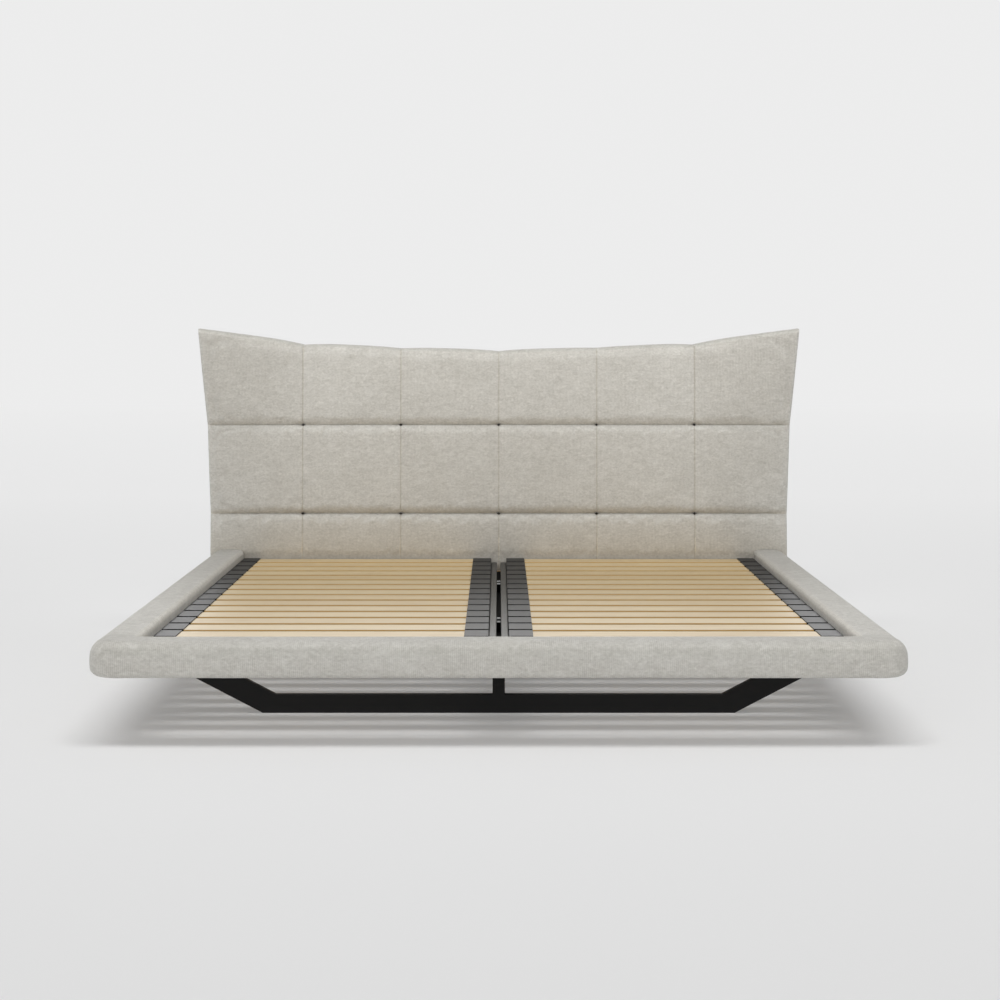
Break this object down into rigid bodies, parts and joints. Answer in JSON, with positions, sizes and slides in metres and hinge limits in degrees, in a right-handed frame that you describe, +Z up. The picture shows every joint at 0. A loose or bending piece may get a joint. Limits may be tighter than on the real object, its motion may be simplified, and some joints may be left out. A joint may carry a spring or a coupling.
{
  "type": "upholstered bed",
  "caption": "Low upholstered double bed with a tufted, winged headboard, padded rails, two lift-out slatted bases and black steel sled feet.",
  "frame": {"origin": "on the floor under the middle of the bed's outer box", "axes": "+Z up, the foot end faces -Y, the headboard is at +Y, X across the bed"},
  "size_m": [2.102, 2.2728, 1.038],
  "materials": {
    "upholstery": "woven greige fabric",
    "rail_timber": "planed softwood",
    "shell_plywood": "bent plywood",
    "black_steel": "black powder coat",
    "zinc_steel": "bright zinc plate",
    "holder_plastic": "grey moulded plastic",
    "base_steel": "grey powder coat",
    "slat_wood": "lacquered pale beech"
  },
  "bodies": {
    "bed_frame": {"foot_rail_cover": "upholstery", "left_rail_cover": "upholstery", "right_rail_cover": "upholstery", "headboard_pad": "upholstery", "headboard_back_cover": "upholstery", "foot_rail_core": "rail_timber", "left_rail_core": "rail_timber", "right_rail_core": "rail_timber", "head_cross_rail": "rail_timber", "headboard_shell": "shell_plywood", "front_sled": "black_steel", "rear_sled": "black_steel", "centre_beam": "black_steel", "centre_beam_hanger": "zinc_steel", "left_support_angle": "zinc_steel", "right_support_angle": "zinc_steel", "front_base_locator": "zinc_steel", "rear_base_locator": "zinc_steel", "left_headboard_bracket": "zinc_steel", "right_headboard_bracket": "zinc_steel"},
    "left_slat_base": {"left_base_inner_rail": "holder_plastic", "left_base_outer_rail": "holder_plastic", "left_base_foot_rail": "base_steel", "left_base_head_rail": "base_steel", "slat_left_01": "slat_wood", "slat_left_02": "slat_wood", "slat_left_03": "slat_wood", "slat_left_04": "slat_wood", "slat_left_05": "slat_wood", "slat_left_06": "slat_wood", "slat_left_07": "slat_wood", "slat_left_08": "slat_wood", "slat_left_09": "slat_wood", "slat_left_10": "slat_wood", "slat_left_11": "slat_wood", "slat_left_12": "slat_wood", "slat_left_13": "slat_wood", "slat_left_14": "slat_wood", "slat_left_15": "slat_wood", "slat_left_16": "slat_wood"},
    "right_slat_base": {"right_base_inner_rail": "holder_plastic", "right_base_outer_rail": "holder_plastic", "right_base_foot_rail": "base_steel", "right_base_head_rail": "base_steel", "slat_right_01": "slat_wood", "slat_right_02": "slat_wood", "slat_right_03": "slat_wood", "slat_right_04": "slat_wood", "slat_right_05": "slat_wood", "slat_right_06": "slat_wood", "slat_right_07": "slat_wood", "slat_right_08": "slat_wood", "slat_right_09": "slat_wood", "slat_right_10": "slat_wood", "slat_right_11": "slat_wood", "slat_right_12": "slat_wood", "slat_right_13": "slat_wood", "slat_right_14": "slat_wood", "slat_right_15": "slat_wood", "slat_right_16": "slat_wood"}
  },
  "joints": [
    {"name": "left_base_lift", "type": "slide", "parent": "bed_frame", "child": "left_slat_base", "axis": [0, 0, 1], "range_m": [0, 0.25]},
    {"name": "right_base_lift", "type": "slide", "parent": "bed_frame", "child": "right_slat_base", "axis": [0, 0, 1], "range_m": [0, 0.25]}
  ]
}
